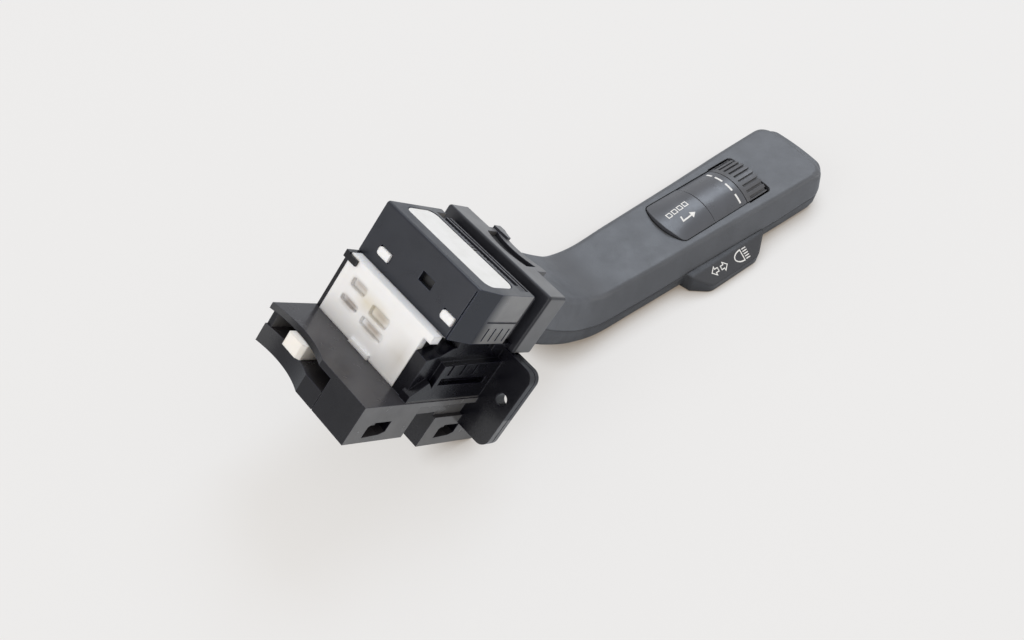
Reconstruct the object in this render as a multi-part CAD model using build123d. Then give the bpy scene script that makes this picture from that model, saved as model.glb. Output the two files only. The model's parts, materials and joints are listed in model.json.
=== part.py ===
from build123d import *
from math import radians, sin, cos, tan, sqrt
import os

os.makedirs("parts", exist_ok=True)

# Combination stalk switch for a steering column. Millimetres, +Z up, as the switch lies on a bench.
#
# Housing frame: x runs out of the housing towards the lever, w runs towards the screw ear
# (w = -Y) and z is square to the label face; the origin is mid-width on the cover's front
# edge. Lever frame: origin on the flash pivot, x along the lever, z square to its control
# face. The lever frame is parallel to the part's own frame, whose origin is the centre of
# the fixing screw hole; the housing frame is turned LEVER_BEND about Y.

# ---------------------------------------------------------------- driving sizes
LEVER_BEND = 36.5        # lever axis against the housing's x
CLEAR = 0.1              # running clearance, each side
WALL = 1.8               # moulded wall of the housing

# cover (upper box)
COVER_LENGTH = 21.7
COVER_HALF_WIDTH = 18.5
COVER_HEIGHT = 15.0
CORNER_START = 16.7      # where the ear-side front corner starts to slant
CORNER_LENGTH = 7.5
STEP_START = 17.5        # the roof is cut away behind this line
STEP_DEPTH = 0.8
STEP_LEFT = -16.5
STEP_RIGHT = 13.0
PIN_WIDTH = 4.2          # latch pins of the guide plate
PIN_HEIGHT = 2.3
PIN_Z = -12.0            # underside of the latch windows
PIN_LEFT = -13.2
PIN_RIGHT = 11.5
PEEP_WIDTH = 4.6         # square hole in the cover's front
PEEP_HEIGHT = 2.7
PEEP_W = 0.9
PEEP_Z = -9.3

# label
LABEL_X = 4.9
LABEL_LENGTH = 11.4
LABEL_LEFT = -16.8
LABEL_RIGHT = 15.4
LABEL_CORNER = 2.6
LABEL_THICKNESS = 0.15
LABEL_RECESS = 0.3

# flange
FLANGE_X = 26.2
FLANGE_THICKNESS = 7.6
FLANGE_HALF_WIDTH = 20.4
FLANGE_TOP = 1.3
FLANGE_BOTTOM = -17.1
FLANGE_WALL = 1.6
FLANGE_WEB = 1.4         # front plate between the spigot and the flange's rim
SPIGOT_X = 17.8
SPIGOT_RIB = 0.55        # fine ribs on the spigot, seen through the cover's rear cut
SPIGOT_PITCH = 1.3
SLOT_LEFT = -8.6         # crescent slot behind the flange's top edge
SLOT_RIGHT = 7.0
SLOT_FRONT = 28.6
SLOT_SAG = 2.2
COLLAR_DEPTH = 4.6
COLLAR_THICKNESS = 1.3
TAB_RISE = 0.8
TAB_WIDTH = 5.8
SEAL_THICKNESS = 0.4     # dust seal in the crescent slot

# guide plate (milky white)
PLATE_X = -3.5
PLATE_LEFT = -17.0
PLATE_RIGHT = 13.2
PLATE_WALL = 2.0
PLATE_RETURN = 9.0
POCKET_DEPTH = 1.2
BOARD_MARGIN = 2.0       # contact carrier round the housing's board

# bracket
ROOF_Z = -32.5
ROOF_THICKNESS = 1.7
HOOD_X = -18.5
HOOD_RIGHT = 19.5
HOOD_LEFT = -18.7
HOOD_BOTTOM = -43.8
HOOD_BACK = 3.0
JAW_GAP = 4.3            # fork slot between the jaws
JAW_LEFT = -18.2
SLOT_END = 7.3           # solid cheek to the right of the fork slot
COLUMN_RADIUS = 24.0     # concave clearance for the steering column
COLUMN_W = -8.5
JAW_COLUMN_W = -10.2     # the lower jaw's clearance sits further left
COLUMN_SAG = 2.7
SIDE_WALL_W = 17.4
LEFT_WALL_W = -18.4
SKIRT_W = 19.2
FOOT_X = 14.4
FOOT_BACK = 39.5
FOOT_LEFT = 2.0
FOOT_RIGHT = 18.5
FOOT_TOP = -39.4
FOOT_BOTTOM = -49.4
EAR_THICKNESS = 4.0
EAR_RIGHT = 29.1
EAR_TOP = -17.2
EAR_BOTTOM = -42.0
EAR_CORNER = 3.0
HOLE_W = 25.2
HOLE_Z = -28.2
HOLE_RADIUS = 1.7

# turn pivot, flash pivot and detent
TURN_X = 23.0
TURN_PIN_RADIUS = 1.6
FLASH_X = 26.0
FLASH_Z = -8.4
FLASH_PIN_RADIUS = 1.5
FORK_HALF_WIDTH = 9.4
FORK_ARM = 2.5
PLUNGER_RADIUS = 1.8
PLUNGER_TIP_X = 9.0
PLUNGER_LENGTH = 6.4

# cancel pawl
PAWL_W = -10.1
PAWL_WIDTH = 6.1
PAWL_TIP_X = -17.9
PAWL_LENGTH = 22.0
PAWL_TRAVEL = 3.0
PAWL_SPRING_LENGTH = 9.0

# lever
LEVER_WALL = 1.6
LEVER_EDGE = 2.0         # round along the control face's edges
LEVER_SIDE_ROUND = 3.0
LEVER_TUCK = 0.5         # the sides lean in below the widest line
WIDEST_AT = 0.6          # depth of the widest line, as a share of the lever's
SEAM_GAP = 0.1
CORE_HALF_WIDTH = 5.0
PARTING = 0.56           # depth of the seam between the shells, as a share of the lever's
ROOT_X = 31.4            # the root reaches this far into the flange
ROOT_TOP = -1.9
ROOT_BOTTOM = -15.2
ROOT_HALF_WIDTH = 12.9
ROOT_WIDEST = 16.5
LEVER_SECTIONS = 22
LEVER_TIP = 147.4
TIP_HALF_WIDTH = 16.3
TIP_CORNER = 7.0
TIP_EDGE = 2.4
TIP_DEPTH = 14.0
CONTROL_Z = -26.9        # control face below the flash pivot

# controls on the lever
BARREL_RADIUS = 13.5
BARREL_CROWN = 3.2
BUTTON_ROOT_CROWN = 1.3  # the button's crown falls to this at its root end
WINDOW_START = 77.4
WINDOW_SAG = 2.4         # bow of the window's root end
WINDOW_CORNER = 2.5
BUTTON_END = 94.3
WHEEL_START = 110.4
WINDOW_END = 121.3
WINDOW_GAP = 0.25
WHEEL_HALF_ANGLE = 41.0
WHEEL_RIBS = 9
RIB_DEPTH = 0.7
RIB_WIDTH = 0.95
WHEEL_END_GAP = 0.9
AXLE_RADIUS = 0.7
WHEEL_HUB_RADIUS = 1.25
BUTTON_STEM = 4.0        # the stem ends this far below the control face
BOARD_START = 64.0
BOARD_LENGTH = 43.0
BOARD_THICKNESS = 1.6
BOARD_Z = CONTROL_Z - 9.0
END_CAP_OUT = 1.5
END_CAP_HALF_WIDTH = 11.6
END_CAP_HEIGHT = 9.8
END_CAP_ARC = 60.0
END_TRAVEL = 0.8
END_POCKET_X = 139.0
END_SPRING_LENGTH = 3.9
END_CAP_Z = CONTROL_Z - 6.6

# icon wing on the lever's ear side
WING_START = 75.5
WING_END = 113.8
WING_OUT = 22.0
WING_THICKNESS = 2.1
WING_SLOPE_START = 13.6
WING_SLOPE_TOP = -33.0
WING_EDGE_TOP = -38.7

FAR = 200.0              # beyond anything on the switch


# ---------------------------------------------------------------- helpers
def block(x0, x1, w0, w1, z0, z1):
    """Box between two corners in the housing frame."""
    return Pos((x0 + x1) / 2, -(w0 + w1) / 2, (z0 + z1) / 2) * Box(x1 - x0, w1 - w0, z1 - z0)


def plan(points, z0, z1):
    """Prism over an x, w outline."""
    face = make_face(Polyline(*[(x, -w, z0) for x, w in points], close=True))
    return extrude(face, amount=z1 - z0, dir=(0, 0, 1))


def profile(points, w0, w1):
    """Prism across the housing over an x, z outline."""
    face = make_face(Polyline(*[(x, -w1, z) for x, z in points], close=True))
    return extrude(face, amount=w1 - w0, dir=(0, 1, 0))


def upright(x, w, radius, z0, z1):
    return Pos(x, -w, (z0 + z1) / 2) * Cylinder(radius, z1 - z0)


def across(x, z, radius, w0, w1):
    return Pos(x, -(w0 + w1) / 2, z) * Rot(90, 0, 0) * Cylinder(radius, w1 - w0)


def along(w, z, radius, x0, x1):
    return Pos((x0 + x1) / 2, -w, z) * Rot(0, 90, 0) * Cylinder(radius, x1 - x0)


def housing_to_lever(x, z):
    """A point of the housing's middle plane, seen in the lever frame."""
    a = radians(LEVER_BEND)
    dx, dz = x - FLASH_X, z - FLASH_Z
    return dx * cos(a) + dz * sin(a), -dx * sin(a) + dz * cos(a)


HOLE_CENTRE = (FLANGE_X + EAR_THICKNESS / 2, -HOLE_W, HOLE_Z)
HOUSING = Rot(0, LEVER_BEND, 0) * Pos(-HOLE_CENTRE[0], -HOLE_CENTRE[1], -HOLE_CENTRE[2])
LEVER = HOUSING * Pos(FLASH_X, 0, FLASH_Z) * Rot(0, -LEVER_BEND, 0)

nodes = {}


def keep(name, part, frame):
    solid = (frame * part).solids()
    if len(solid) != 1:
        print("NOTE", name, "has", len(solid), "solids")
    nodes[name] = Compound(solid) if len(solid) > 1 else solid[0]


# ---------------------------------------------------------------- housing
def cover_outline(inset):
    """Plan of the cover, in x and w, with its slanted ear-side corner."""
    return [(inset, -COVER_HALF_WIDTH + inset), (COVER_LENGTH, -COVER_HALF_WIDTH + inset),
            (COVER_LENGTH, COVER_HALF_WIDTH - inset), (CORNER_LENGTH, COVER_HALF_WIDTH - inset),
            (inset, CORNER_START - inset)]


def housing_cover():
    body = plan(cover_outline(0), -COVER_HEIGHT, 0)
    body = fillet(body.faces().sort_by(Axis.Z)[-1].edges().filter_by(GeomType.LINE).sort_by(Axis.X)[:1], 0.8)
    cavity = plan(cover_outline(WALL), -COVER_HEIGHT, -WALL)
    cavity += block(COVER_LENGTH - 1, COVER_LENGTH, -COVER_HALF_WIDTH + WALL,
                    COVER_HALF_WIDTH - WALL, -COVER_HEIGHT, -WALL)
    body -= cavity
    body -= block(STEP_START, COVER_LENGTH, STEP_LEFT, COVER_HALF_WIDTH - 2, -STEP_DEPTH, 0)
    body -= block(STEP_START, COVER_LENGTH, STEP_LEFT, STEP_RIGHT, -WALL, 0)
    body -= block(STEP_START - 1.3, STEP_START, -2.6, 0.8, -STEP_DEPTH, 0)
    for left in (PIN_LEFT, PIN_RIGHT):
        body -= block(0, WALL, left - 0.2, left + PIN_WIDTH + 0.2, PIN_Z - 0.2, PIN_Z + PIN_HEIGHT + 0.2)
    body -= block(0, WALL, PEEP_W, PEEP_W + PEEP_WIDTH, PEEP_Z, PEEP_Z + PEEP_HEIGHT)
    # groove between the front and the slanted corner
    body -= block(0, 0.5, CORNER_START - 0.6, CORNER_START - 0.15, -COVER_HEIGHT, -0.8)
    body -= label_shape(LABEL_RECESS, 0.2)
    # seam and shallow ribs on the ear side
    body -= block(CORNER_LENGTH + 1, COVER_LENGTH, COVER_HALF_WIDTH - 0.4, COVER_HALF_WIDTH, -8.6, -8.1)
    for i in range(4):
        x = CORNER_LENGTH + 3.5 + 3 * i
        body -= block(x, x + 0.5, COVER_HALF_WIDTH - 0.3, COVER_HALF_WIDTH, -COVER_HEIGHT + 0.8, -10.2)
    return body


def label_shape(depth, grow):
    """Rounded label outline, as a prism that ends at the label face."""
    plate = block(LABEL_X - grow, LABEL_X + LABEL_LENGTH + grow, LABEL_LEFT - grow, LABEL_RIGHT + grow, -depth, 0)
    return fillet(plate.edges().filter_by(Axis.Z), LABEL_CORNER)


def label():
    return label_shape(LABEL_RECESS, 0) - label_shape(LABEL_RECESS - LABEL_THICKNESS, 1)


def flange_opening(grow=0.0):
    return block(FLANGE_X - 1, FLANGE_X + FLANGE_THICKNESS + 1,
                 -FLANGE_HALF_WIDTH + FLANGE_WALL + 0.2 - grow, FLANGE_HALF_WIDTH - FLANGE_WALL - 0.2 + grow,
                 FLANGE_BOTTOM + FLANGE_WALL - grow, FLANGE_TOP - FLANGE_WALL + grow)


def slot_arc(x, left, right, sag):
    """Arc across the housing that sags towards the cover, as an edge."""
    return ThreePointArc((x, -left), (x - sag, -(left + right) / 2), (x, -right))


def crescent(front, back, left, right, z0, z1):
    """Band between two like arcs, front and back."""
    a = slot_arc(front, left, right, SLOT_SAG)
    b = slot_arc(back, left, right, SLOT_SAG)
    face = make_face([a, b, Line(a @ 0, b @ 0), Line(a @ 1, b @ 1)])
    return Pos(0, 0, z0) * extrude(face, amount=z1 - z0, dir=(0, 0, 1))


def spigot_ribs():
    """Fine ribs that show where the cover's roof is cut away."""
    z0 = -WALL - CLEAR - 0.2
    ribs = block(SPIGOT_X, SPIGOT_X + 0.6, STEP_LEFT + CLEAR, STEP_RIGHT - CLEAR, z0, -1.2)
    for i in range(int((STEP_RIGHT - STEP_LEFT - 1.0) / SPIGOT_PITCH)):
        w = STEP_LEFT + 0.6 + SPIGOT_PITCH * i
        ribs += block(SPIGOT_X, COVER_LENGTH - 0.5, w, w + SPIGOT_RIB, z0, -1.2)
    return ribs


def mounting_flange():
    x1 = FLANGE_X + FLANGE_THICKNESS
    frame = block(FLANGE_X, x1, -FLANGE_HALF_WIDTH, FLANGE_HALF_WIDTH, FLANGE_BOTTOM, FLANGE_TOP)
    frame = fillet(frame.edges().filter_by(Axis.X), 1.0)
    front = frame.faces().sort_by(Axis.X)[0]
    frame = fillet(front.edges(), 0.7)
    frame -= flange_opening()
    half = COVER_HALF_WIDTH - WALL - CLEAR
    spigot = block(SPIGOT_X, FLANGE_X + FLANGE_WEB, -half, half, -COVER_HEIGHT, -WALL - CLEAR)
    for i in range(2):
        x = COVER_LENGTH + 1.2 + 1.6 * i
        spigot += block(x, x + 0.7, -half, half, -WALL - CLEAR, -1.2)
    spigot += spigot_ribs()
    frame += spigot
    frame += block(FLANGE_X, FLANGE_X + FLANGE_WEB, -FLANGE_HALF_WIDTH + 1, FLANGE_HALF_WIDTH - 1,
                   FLANGE_BOTTOM + 1, FLANGE_TOP - 1)
    frame -= block(SPIGOT_X, FLANGE_X + FLANGE_WEB, -half + 1.6, half - 1.6, -COVER_HEIGHT + 1.5, -WALL - 1.5)
    frame -= upright(TURN_X, 0, TURN_PIN_RADIUS + 0.05, -COVER_HEIGHT, -WALL - CLEAR)
    frame -= crescent(SLOT_FRONT + SLOT_SAG, x1 + SLOT_SAG, SLOT_LEFT, SLOT_RIGHT, FLANGE_TOP - FLANGE_WALL, FLANGE_TOP)
    return frame


def dust_collar():
    """Arched lip behind the flange, over the lever's root."""
    x1 = FLANGE_X + FLANGE_THICKNESS
    z1 = FLANGE_TOP
    z0 = z1 - COLLAR_THICKNESS
    band = crescent(x1 + SLOT_SAG - 0.4, x1 + COLLAR_DEPTH, SLOT_LEFT, SLOT_RIGHT, z0, z1)
    for w0, w1 in ((SLOT_LEFT - 2, SLOT_LEFT), (SLOT_RIGHT, SLOT_RIGHT + 2)):
        band += block(x1, x1 + COLLAR_DEPTH, w0, w1, z0, z1)
    tab = block(x1 + COLLAR_DEPTH - 2.8, x1 + COLLAR_DEPTH, SLOT_LEFT - 2, SLOT_LEFT - 2 + TAB_WIDTH, z0, z1 + TAB_RISE)
    tab &= band + Pos(0, 0, TAB_RISE) * band
    return band + tab


def dust_seal():
    """Thin dark seal in the crescent slot, above the lever's root."""
    back = FLANGE_X + FLANGE_THICKNESS + SLOT_SAG - 0.5
    z0 = FLANGE_TOP - FLANGE_WALL + 0.05
    return crescent(SLOT_FRONT + SLOT_SAG + 0.05, back, SLOT_LEFT + 0.05, SLOT_RIGHT - 0.05, z0, z0 + SEAL_THICKNESS)


def guide_plate():
    top = -COVER_HEIGHT - CLEAR
    bottom = ROOF_Z + 0.05
    plate = block(PLATE_X, PLATE_X + PLATE_WALL, PLATE_LEFT, PLATE_RIGHT, bottom, top)
    plate += block(PLATE_X, PLATE_X + PLATE_RETURN, PLATE_LEFT, PLATE_RIGHT, top - PLATE_WALL, top)
    plate += block(PLATE_X, PLATE_X + PLATE_RETURN, PLATE_LEFT, PLATE_RIGHT, bottom, bottom + PLATE_WALL)
    pockets = ((-12.7, -7.2, -21.6, -19.2), (-13.2, -6.8, -26.2, -24.6),
               (-3.7, 3.0, -23.7, -20.8), (-4.6, 3.6, -27.2, -25.0))
    for w0, w1, z0, z1 in pockets:
        pocket = block(PLATE_X, PLATE_X + POCKET_DEPTH, w0, w1, z0, z1)
        plate -= fillet(pocket.edges().filter_by(Axis.X), 0.6)
    plate += block(PLATE_X - 0.7, PLATE_X, -4.0, 3.5, bottom, bottom + 1.3)
    plate += block(PLATE_X, PLATE_X + 3.0, PLATE_RIGHT, PLATE_RIGHT + 2.4, top - 2.2, top)
    for left in (PIN_LEFT, PIN_RIGHT):
        w0, w1 = left, min(left + PIN_WIDTH, PLATE_RIGHT + 2.4)
        inner = min(w1, CORNER_START - WALL - 0.2)
        post = block(WALL + CLEAR, WALL + 1.7, w0, inner, top - 1, PIN_Z + PIN_HEIGHT)
        post += block(WALL, WALL + 1.0, w0, inner, PIN_Z, PIN_Z + PIN_HEIGHT)
        nose = block(-0.5, WALL, w0, w1, PIN_Z, PIN_Z + PIN_HEIGHT)
        nose = fillet(nose.edges().filter_by(Axis.X).group_by(Axis.Y)[-1], 0.8)
        plate += post + nose
    return plate


def fork_clearance(w, z0, z1):
    """Space that the steering column takes out of a jaw."""
    return upright(HOOD_X + COLUMN_SAG - COLUMN_RADIUS, w, COLUMN_RADIUS, z0, z1)


def fork():
    """Hood over the column: roof, cheek and the lower jaw, with the slot between."""
    slot_top = ROOF_Z - ROOF_THICKNESS
    slot_bottom = slot_top - JAW_GAP
    hood = block(HOOD_X, FLANGE_X, HOOD_LEFT, HOOD_RIGHT, slot_top, ROOF_Z)
    hood += block(HOOD_X, HOOD_BACK, SLOT_END, HOOD_RIGHT, HOOD_BOTTOM, slot_top)
    jaw = block(HOOD_X, HOOD_BACK, JAW_LEFT, SLOT_END, HOOD_BOTTOM, slot_bottom)
    jaw -= block(HOOD_X + 3, HOOD_BACK, JAW_LEFT + 2, SLOT_END, HOOD_BOTTOM, slot_bottom - 1.6)
    hood += jaw - fork_clearance(JAW_COLUMN_W, HOOD_BOTTOM - 1, slot_bottom)
    hood -= fork_clearance(COLUMN_W, slot_top, ROOF_Z + 1)
    hood -= block(HOOD_X, HOOD_X + 0.5, SLOT_END - 0.15, SLOT_END + 0.15, HOOD_BOTTOM, slot_bottom)
    hood += block(HOOD_X + 2, HOOD_BACK, JAW_LEFT, JAW_LEFT + 1.6, slot_bottom, slot_top)
    hood += block(HOOD_BACK, FOOT_X + 4, -14, SIDE_WALL_W, slot_bottom, slot_top)
    hood += block(-8, HOOD_BACK, -15, SLOT_END, slot_bottom, slot_top)
    channel = block(HOOD_X, PAWL_TIP_X + PAWL_LENGTH + PAWL_SPRING_LENGTH, PAWL_W - CLEAR,
                    PAWL_W + PAWL_WIDTH + CLEAR, slot_bottom, slot_top)
    return hood - channel


def end_slot(x0, x1, z0, z1, w1):
    """Clip pocket in the end of a block, with the tongue inside it."""
    pocket = profile([(x0, z0), (x0, z1 - 1.2), (x0 + 1.4, z1), (x1, z1), (x1, z0 + 1.2), (x1 - 2, z0 + 0.4)],
                     w1 - 5, w1)
    tongue = block(x0 + 1.6, x0 + 4.0, w1 - 5, w1 - 1.2, z1 - 2.0, z1)
    return pocket - tongue


def foot():
    body = block(FOOT_X, FOOT_BACK, FOOT_LEFT, FOOT_RIGHT, FOOT_BOTTOM, FOOT_TOP)
    body = chamfer(body.edges().filter_by(Axis.Y).group_by(Axis.Z)[-1].sort_by(Axis.X)[-1:], 3.2)
    body -= block(FOOT_X + 2, FOOT_BACK - 2, FOOT_LEFT + 2, FOOT_RIGHT - 6, FOOT_BOTTOM, FOOT_TOP - 2)
    return body - end_slot(FOOT_X + 5.2, FOOT_X + 13.2, -46.9, -42.6, FOOT_RIGHT)


def ear():
    x1 = FLANGE_X + EAR_THICKNESS
    seam = FLANGE_X + EAR_THICKNESS * 0.55

    def plate(xa, xb, inset):
        body = block(xa, xb, SIDE_WALL_W - 2, EAR_RIGHT - inset, EAR_BOTTOM + inset, EAR_TOP - inset)
        corners = body.edges().filter_by(Axis.X).group_by(Axis.Y)[0]
        return fillet(corners, EAR_CORNER - inset)

    body = plate(FLANGE_X, seam - 0.15, 0) + plate(seam - 0.15, seam + 0.15, 0.35) + plate(seam + 0.15, x1, 0)
    return body - along(HOLE_W, HOLE_Z, HOLE_RADIUS, FLANGE_X - 1, x1 + 1)


def side_walls():
    deck_top = -COVER_HEIGHT - CLEAR
    deck = block(PLATE_X + PLATE_RETURN + CLEAR, FLANGE_X, LEFT_WALL_W, SIDE_WALL_W, deck_top - 2, deck_top)
    deck += block(COVER_LENGTH - 3, FLANGE_X, -COVER_HALF_WIDTH, COVER_HALF_WIDTH, deck_top - 2, deck_top)
    left = block(PLATE_X + 0.3, FLANGE_X, LEFT_WALL_W, PLATE_LEFT - CLEAR, ROOF_Z, deck_top)
    left += block(PLATE_X - 0.8, PLATE_X - 0.1, LEFT_WALL_W, PLATE_LEFT + 3.2, deck_top - 2.0, deck_top - 0.4)
    left += block(PLATE_X - 0.8, PLATE_X + 0.3, LEFT_WALL_W, PLATE_LEFT - CLEAR, deck_top - 2.0, deck_top)
    right = profile([(PLATE_X, ROOF_Z), (PLATE_X, -21.0), (0.9, -19.6), (4.0, -17.4), (9.9, -16.2),
                     (COVER_LENGTH - 3, deck_top), (FLANGE_X, deck_top), (FLANGE_X, ROOF_Z)],
                    PLATE_RIGHT + CLEAR, SIDE_WALL_W)
    skirt = profile([(PLATE_X - 0.5, ROOF_Z), (PLATE_X - 0.5, -30.4), (0.4, -26.4), (2.6, -28.2), (2.6, -21.4),
                     (FLANGE_X, -20.4), (FLANGE_X, ROOF_Z)], SIDE_WALL_W - 1, SKIRT_W)
    skirt -= block(4.2, FLANGE_X - 3, SIDE_WALL_W + 0.2, SKIRT_W, -27.4, -25.2)
    for i in range(3):
        skirt -= block(5.5 + 5 * i, 6.3 + 5 * i, SKIRT_W - 0.5, SKIRT_W, -24.4, -21.0)
    back = block(FLANGE_X, FLANGE_X + EAR_THICKNESS, LEFT_WALL_W, SIDE_WALL_W, EAR_BOTTOM + 2, FLANGE_BOTTOM - CLEAR)
    back += block(FOOT_X, FLANGE_X, FOOT_LEFT, SIDE_WALL_W, FOOT_TOP, ROOF_Z - ROOF_THICKNESS)
    return deck + left + right + skirt + back


def column_bracket():
    body = fork() + side_walls() + foot() + ear()
    body -= end_slot(-13.0, -5.3, -42.2, -37.7, HOOD_RIGHT)
    deck_top = -COVER_HEIGHT - CLEAR
    body -= upright(TURN_X, 0, TURN_PIN_RADIUS + 0.05, deck_top - 2, deck_top)
    return body


def board_space(gap):
    """Upright board across the compartment behind the guide plate."""
    x0 = PLATE_X + PLATE_RETURN + CLEAR
    return block(x0 - gap, x0 + BOARD_THICKNESS + gap, PLATE_LEFT + BOARD_MARGIN - gap, PLATE_RIGHT - BOARD_MARGIN + gap,
                 ROOF_Z + BOARD_MARGIN - gap, -COVER_HEIGHT - 2.0 - BOARD_MARGIN + gap)


def circuit_board():
    return board_space(0)


def contact_carrier():
    """Moulded block that fills the compartment and holds the board and the contacts."""
    top = -COVER_HEIGHT - CLEAR - PLATE_WALL - CLEAR
    front = PLATE_X + PLATE_WALL + CLEAR
    joint = PLATE_X + PLATE_RETURN + CLEAR
    body = block(front, joint, PLATE_LEFT, PLATE_RIGHT, ROOF_Z + 0.05 + PLATE_WALL + CLEAR, top)
    body += block(joint, FLANGE_X - CLEAR, PLATE_LEFT, PLATE_RIGHT, ROOF_Z + CLEAR, top)
    return body - board_space(CLEAR / 2)


def cancel_pawl():
    z1 = ROOF_Z - ROOF_THICKNESS - CLEAR
    z0 = z1 - JAW_GAP + 2 * CLEAR
    bar = block(PAWL_TIP_X, PAWL_TIP_X + PAWL_LENGTH, PAWL_W, PAWL_W + PAWL_WIDTH, z0, z1)
    bar = chamfer(bar.faces().sort_by(Axis.X)[0].edges().filter_by(Axis.Z).sort_by(Axis.Y)[:1], 1.0)
    return bar - along(PAWL_W + PAWL_WIDTH / 2, (z0 + z1) / 2, 1.3, PAWL_TIP_X + PAWL_LENGTH - 5,
                       PAWL_TIP_X + PAWL_LENGTH)


def pawl_spring():
    z = ROOF_Z - ROOF_THICKNESS - JAW_GAP / 2
    start = PAWL_TIP_X + PAWL_LENGTH - 5 + 0.25
    end = PAWL_TIP_X + PAWL_LENGTH + PAWL_SPRING_LENGTH - 0.25
    return Pos(start, -(PAWL_W + PAWL_WIDTH / 2), z) * coil(0.95, 0.4, end - start, 7)


def coil(radius, wire, length, turns):
    """Coil spring that stands on its own origin along +X."""
    helix = Helix(pitch=length / turns, height=length, radius=radius)
    start = Plane(origin=helix @ 0, z_dir=helix % 0)
    return Rot(0, 90, 0) * sweep(start * RegularPolygon(wire / 2, 6), path=helix)


# ---------------------------------------------------------------- yoke
def turn_yoke():
    hub = upright(TURN_X, 0, 4.4, -COVER_HEIGHT + 1.6, -WALL - 1.6)
    pins = upright(TURN_X, 0, TURN_PIN_RADIUS, -COVER_HEIGHT - 2.0, -WALL - 0.2)
    web = block(TURN_X - 4, FLASH_X - 3.9, -FORK_HALF_WIDTH, FORK_HALF_WIDTH, FLASH_Z - 3.4, FLASH_Z + 3.4)
    yoke = hub + pins + web
    for side in (-1, 1):
        w0, w1 = sorted((side * FORK_HALF_WIDTH, side * (FORK_HALF_WIDTH - FORK_ARM)))
        yoke += block(TURN_X - 4, FLASH_X, w0, w1, FLASH_Z - 3.4, FLASH_Z + 3.4)
        yoke += across(FLASH_X, FLASH_Z, 3.4, w0, w1)
    inner = FORK_HALF_WIDTH - FORK_ARM
    yoke -= across(FLASH_X, FLASH_Z, 3.9, -inner, inner)
    yoke -= across(FLASH_X, FLASH_Z, FLASH_PIN_RADIUS, -FORK_HALF_WIDTH, FORK_HALF_WIDTH)
    barrel_x = PLUNGER_TIP_X + 3.2
    yoke += along(0, FLASH_Z, PLUNGER_RADIUS + 1.5, barrel_x, TURN_X - 2)
    return yoke - along(0, FLASH_Z, PLUNGER_RADIUS + 0.05, barrel_x, TURN_X - 3.4)


def detent_plunger():
    body = along(0, FLASH_Z, PLUNGER_RADIUS, PLUNGER_TIP_X, PLUNGER_TIP_X + PLUNGER_LENGTH)
    return fillet(body.edges().sort_by(Axis.X)[:1], PLUNGER_RADIUS - 0.4)


def detent_spring():
    start = PLUNGER_TIP_X + PLUNGER_LENGTH + 0.25
    return Pos(start, 0, FLASH_Z) * coil(1.3, 0.4, TURN_X - 3.4 - 0.25 - start, 5)


def detent_cam():
    """Cam block behind the cover's front, with a shallow notch for each lever position."""
    reach = TURN_X - PLUNGER_TIP_X + 0.35
    body = block(WALL + 0.05, 12.0, -8.0, 8.0, FLASH_Z - 3.0, FLASH_Z + 3.0)
    body -= upright(TURN_X, 0, reach, FLASH_Z - 3.0, FLASH_Z + 3.0)
    for angle in (-8, 0, 8):
        a = radians(angle)
        body -= upright(TURN_X - (reach - 1.0) * cos(a), (reach - 1.0) * sin(a), 1.25, FLASH_Z - 3.0, FLASH_Z + 3.0)
    body -= block(PLUNGER_TIP_X + 1.0, 12.0, -8.0, 8.0, FLASH_Z - 3.0, FLASH_Z + 3.0)
    return body


def flash_pin():
    return across(FLASH_X, FLASH_Z, FLASH_PIN_RADIUS, -FORK_HALF_WIDTH + 0.1, FORK_HALF_WIDTH - 0.1)


# ---------------------------------------------------------------- lever
def stations():
    """Guide sections: top point, downward tilt, half width of the top, depth, half width at the widest."""
    root = [housing_to_lever(x, ROOT_TOP) + (LEVER_BEND, ROOT_HALF_WIDTH, ROOT_TOP - ROOT_BOTTOM, ROOT_WIDEST)
            for x in (ROOT_X, ROOT_X + 3.5)]
    neck = [(18.6, -9.0, 43.0, 12.3, 14.6, 15.9), (28.1, -17.3, 38.0, 11.4, 15.0, 15.0),
            (40.1, -25.0, 21.0, 10.5, 14.8, 14.2), (50.5, CONTROL_Z, 5.0, 10.5, 14.4, 14.2)]
    straight = [(62.0, CONTROL_Z, 0.0, 11.0, 14.3, 14.6), (94.0, CONTROL_Z, 0.0, 12.0, 14.3, 15.6),
                (124.0, CONTROL_Z, 0.0, 13.3, 14.2, 16.6), (LEVER_TIP + 2, CONTROL_Z, 0.0, 14.0, TIP_DEPTH, 17.0)]
    return root + neck + straight


def monotone(xs, ys, x):
    """Smooth reading of a table that never swings past its values."""
    rise = [(ys[i + 1] - ys[i]) / (xs[i + 1] - xs[i]) for i in range(len(xs) - 1)]
    slope = [rise[0]]
    for before, after in zip(rise, rise[1:]):
        slope.append(2 * before * after / (before + after) if before * after > 0 else 0.0)
    slope.append(rise[-1])
    i = max(k for k in range(len(rise)) if x >= xs[k] - 1e-9)
    h = xs[i + 1] - xs[i]
    t = (x - xs[i]) / h
    return (ys[i] * (1 + 2 * t) * (1 - t) ** 2 + slope[i] * h * t * (1 - t) ** 2
            + ys[i + 1] * t * t * (3 - 2 * t) + slope[i + 1] * h * t * t * (t - 1))


def sections_between(start, end):
    """Evenly spaced sections along the lever, from one share of its run to another."""
    table = stations()
    run = [0.0]
    for a, b in zip(table, table[1:]):
        run.append(run[-1] + sqrt((b[0] - a[0]) ** 2 + (b[1] - a[1]) ** 2))
    columns = list(zip(*table))
    steps = round((end - start) * LEVER_SECTIONS)
    result = []
    for i in range(steps + 1):
        distance = run[-1] * (start + (end - start) * i / steps)
        result.append([monotone(run, column, distance) for column in columns])
    return result


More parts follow.
